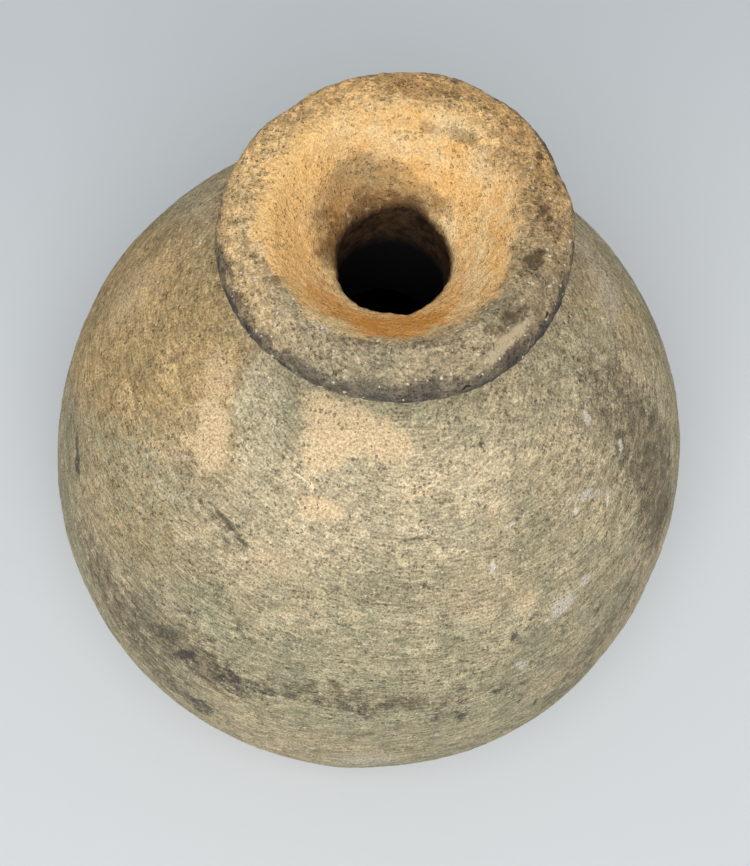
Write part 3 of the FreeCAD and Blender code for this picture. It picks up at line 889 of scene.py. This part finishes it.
# Slate marks round the lip's lower edge on its near side: soot, and painted shade of the edge turned
# down and away from the light.
SLATE_AND_SHADE = [
    (-33, -10, 185, -66, 2.7, 0.9, 0.5, 0.9),
    (-29, -19, 184, -60, 4.2, 1.3, 0.5, 0.9),
    (-24, -25, 184, -41, 3.2, 1.4, 0.5, 0.9),
    (-18, -30, 184, -28, 3.4, 1.0, 0.5, 0.9),
    (-11, -32, 184, -16, 3.0, 1.4, 0.6, 0.7),
    (5, -34, 184, 8, 10.0, 1.3, 0.8, 0.8),
    (22, -27, 184, 36, 7.5, 1.6, 0.7, 0.9),
    (31, -15, 184, 62, 6.5, 1.5, 0.7, 0.9),
    (34, -2, 184, 86, 5.0, 1.1, 0.7, 0.7),
]
BLACK = [
    (-8, 16, 180, 80, 0.9, 0.13, 0.5, 1.0),
    (-8, 17, 180, 34, 0.9, 0.12, 0.5, 1.0),
    (-6, 18, 181, 28, 1.0, 0.12, 0.5, 1.0),
    (-6, 19, 182, -81, 1.3, 0.1, 0.5, 1.0),
    (17, -30, 184.5, 13, 1.9, 0.35, 0.5, 1.0),
    (21, -28, 184.5, 32, 2.0, 0.35, 0.6, 0.9),
    (22, -26, 186, 33, 1.0, 0.5, 0.5, 1.0),
    (30, -14, 186, 46, 0.8, 0.5, 0.5, 1.0),
    (-27, -6, 188, 48, 0.8, 0.4, 0.5, 0.6),
]

mouth_clay, tree, spots, strokes, grain, plain = clay_shell("mouth_clay_worn", 1.25)
broken = strokes["Broken"]
apart = put(tree, "SeparateXYZ", {0: spots["Ragged"]}).outputs
out = from_axis(tree, apart)

# The lip: greyish, turning ochre on its far and left sides and brown on the
# right, with slate soot and painted shade round its lower edge, strongest on the
# near side, and plain clay under it.
lip_tint = blend(tree, 0.7, plain, clay(182, 165, 134))
far_off = minus(tree, apart[1], times(tree, apart[0], 0.15))
lip_tint = blend(tree, ramp(tree, far_off, -18.0, 16.0, 0.0, 0.85), lip_tint, clay(244, 198, 134))
left_side = ramp(tree, apart[0], -30.0, -12.0, 0.55, 0.0)
lip_tint = blend(tree, left_side, lip_tint, clay(232, 196, 142))
right_side = ramp(tree, apart[0], 8.0, 30.0, 0.0, 0.36)
lip_tint = blend(tree, right_side, lip_tint, clay(126, 100, 66))
lip_tint = stained(tree, lip_tint, spots, broken, (
    (BROWN, clay(184, 138, 84), 0.9, 0.5), (SLATE_AND_SHADE, clay(82, 77, 73), 0.9, 0.88),
), flat=True)
# Painted shade with soot: the lip's lower outer edge darkens, more on the near side.
under_edge = minus(tree, out, times(tree, apart[2], 0.5))
under_edge = plus(tree, under_edge, times(tree, apart[1], -0.07))
soot_and_shade = ramp(tree, under_edge, -62.5, -57.0, 0.0, 1.0)
lip_tint = blend(tree, wear_off(tree, soot_and_shade, broken, 0.9, 0.7), lip_tint, clay(86, 80, 75))
under_lip = ramp(tree, apart[2], 165.0, 180.0, 1.0, 0.0)
lip_tint = blend(tree, under_lip, lip_tint, plain)
lip_tint = with_grit(tree, wiped_over(tree, lip_tint, spots, strokes), grain, 0.5, 0.3, 0.95)

# The funnel: ochre in two tones, deeper orange on its near side, smoke and
# painted shade above the throat, and painted shade in brown round its far left
# side.
pale = cloud(tree, spots["Place"], 9.0, 4.0, 0.6)
funnel_tint = blend(tree, ramp(tree, pale, 0.35, 0.65), clay(255, 205, 134), clay(255, 226, 172))
browner = ramp(tree, broken, 0.5, 0.66, 0.0, 0.32)
funnel_tint = blend(tree, browner, funnel_tint, clay(206, 160, 100))
left_side = ramp(tree, apart[0], -20.0, -6.0, 0.95, 0.0)
funnel_tint = blend(tree, left_side, funnel_tint, clay(255, 208, 138))
funnel_tint = stained(tree, funnel_tint, spots, broken, (
    (ORANGE, clay(234, 162, 68), 0.8, 0.8), (SMOKE_AND_SHADE, clay(134, 112, 80), 0.3, 0.62),
), flat=True)
# Painted shade: brown round the throat's far left side, where the funnel turns down into the bore.
shaded_side = minus(tree, apart[1], times(tree, apart[0], 0.8))
shaded_side = ramp(tree, shaded_side, -6.0, 11.0)
throat_shade = times(tree, ramp(tree, out, 11.5, 18.5, 1.0, 0.0), shaded_side)
share = wear_off(tree, throat_shade, broken, 0.9, 0.75)
funnel_tint = blend(tree, share, funnel_tint, clay(112, 80, 46))
funnel_tint = with_grit(tree, funnel_tint, grain, 0.34, 0.15, 0.35)

# The two meet in a ragged line inside the crest, and the funnel's colour
# stays on the upper face. Cream, scorched and black marks lie over both.
edge_of_slip = minus(tree, out, times(tree, apart[1], 0.07))
edge_of_slip = plus(tree, edge_of_slip, times(tree, apart[0], 0.06))
upper_face = minus(tree, apart[2], times(tree, out, 1.2))
upper_face = ramp(tree, upper_face, 150.5, 153.5)
in_mouth = times(tree, ramp(tree, edge_of_slip, 21.0, 31.0, 1.0, 0.0), upper_face)
share = wear_off(tree, in_mouth, broken, 1.2, 1.0)
tint = stained(tree, blend(tree, share, lip_tint, funnel_tint), spots, broken, (
    (CREAM, clay(222, 200, 166), 1.2, 0.7), (SCORCH, clay(84, 68, 50), 1.3, 0.75),
    (BLACK, clay(30, 25, 22), 0.4, 0.9),
), flat=True)
finish_clay(tree, spots, broken, grain, tint, 0.5)

crest = bow(CREST_BOW, 90.0, FUNNEL_LEAN, 3, SKIN)
throat = bow(THROAT_BOW, FUNNEL_LEAN, 180.0, 3)
flare_section = joined(
    bow(FLARE_BOW, 180.0, FLARE_END, 9, -SKIN),
    slip((CREST_RADIUS, UNDER_CREST), (CREST_RADIUS, CREST_TOP), 3),
    crest,
    slip(crest[-1], throat[0], 11),
    throat,
    slip((BORE_RADIUS, THROAT), (NECK_RADIUS, NECK_TOP), 2),
)
lip_section = joined(
    bow(FLARE_BOW, FLARE_END, 90.0, 3, -SKIN),
    bow(EDGE_BOW, -90.0, CROWN_LEAN, 7, SKIN),
    bow(CROWN_BOW, CROWN_LEAN, 90.0, 5, SKIN),
    slip((CREST_RADIUS, CREST_TOP), (CREST_RADIUS, UNDER_CREST), 3),
)
mouth_pieces = [
    ("mouth_flare", flare_section, "mouth_clay"),
    ("lip_coil", lip_section, "lip_clay"),
]
for node_name, section, slot_name in mouth_pieces:
    part = draw_up(node_name + "_clay", section)
    fire(part, BODY_PRESSES + MOUTH_PRESSES, MOUTH_GRIT)
    part.data.materials.append(mouth_clay)
    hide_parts(node_name)
    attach(part, "root")


# Table, lamp and camera. A pale table top, its colour darkened towards the far
# left as painted shade, with one large soft lamp over it, and the camera held
# above the bottle, looking steeply down at its mouth.

bpy.ops.object.select_all(action="DESELECT")
bpy.ops.mesh.primitive_plane_add(size=6, location=(0, 0, 0))
table_top = bpy.context.object
table_top.name = "table_top"
paper = bpy.data.materials.new("table_paper")
paper.use_nodes = True
tree = paper.node_tree
apart = put(tree, "SeparateXYZ", {0: put(tree, "TexCoord").outputs["Object"]}).outputs
# Painted shade: the paper darkens towards the far left side.
away = minus(tree, apart[1], times(tree, apart[0], 0.4))
far_shade = ramp(tree, away, 0.0, 0.18, 0.0, 1.0, "LINEAR")
sheet = blend(tree, far_shade, clay(229, 234, 238), clay(214, 221, 226))
tree.links.new(sheet, tree.nodes["Principled BSDF"].inputs["Base Color"])
tree.nodes["Principled BSDF"].inputs["Roughness"].default_value = 0.9
table_top.data.materials.append(paper)

sky = bpy.data.worlds.new("room")
sky.use_nodes = True
sky.node_tree.nodes["Background"].inputs["Color"].default_value = (1, 1, 1, 1)
sky.node_tree.nodes["Background"].inputs["Strength"].default_value = 0.36
scene.world = sky

soft_box = bpy.data.lights.new("soft_box", "AREA")
soft_box.size = 0.7
soft_box.energy = 9.7
holder = bpy.data.objects.new("soft_box", soft_box)
holder.location = (0.0, -0.55, 1.15)
lit_middle = Vector((0, 0, 0.1))
holder.rotation_euler = (lit_middle - holder.location).to_track_quat("-Z", "Y").to_euler()
scene.collection.objects.link(holder)

eye = bpy.data.cameras.new("eye")
eye.lens = 85.2
eye.sensor_width = 36
eye.clip_start = 0.01
camera = bpy.data.objects.new("eye", eye)
camera.location = (0.0, -0.17918, 0.53079)
camera.rotation_euler = [math.radians(a) for a in (21.5655, -2.7252, 6.5174)]
scene.collection.objects.link(camera)
scene.camera = camera
scene.view_settings.view_transform = "Standard"
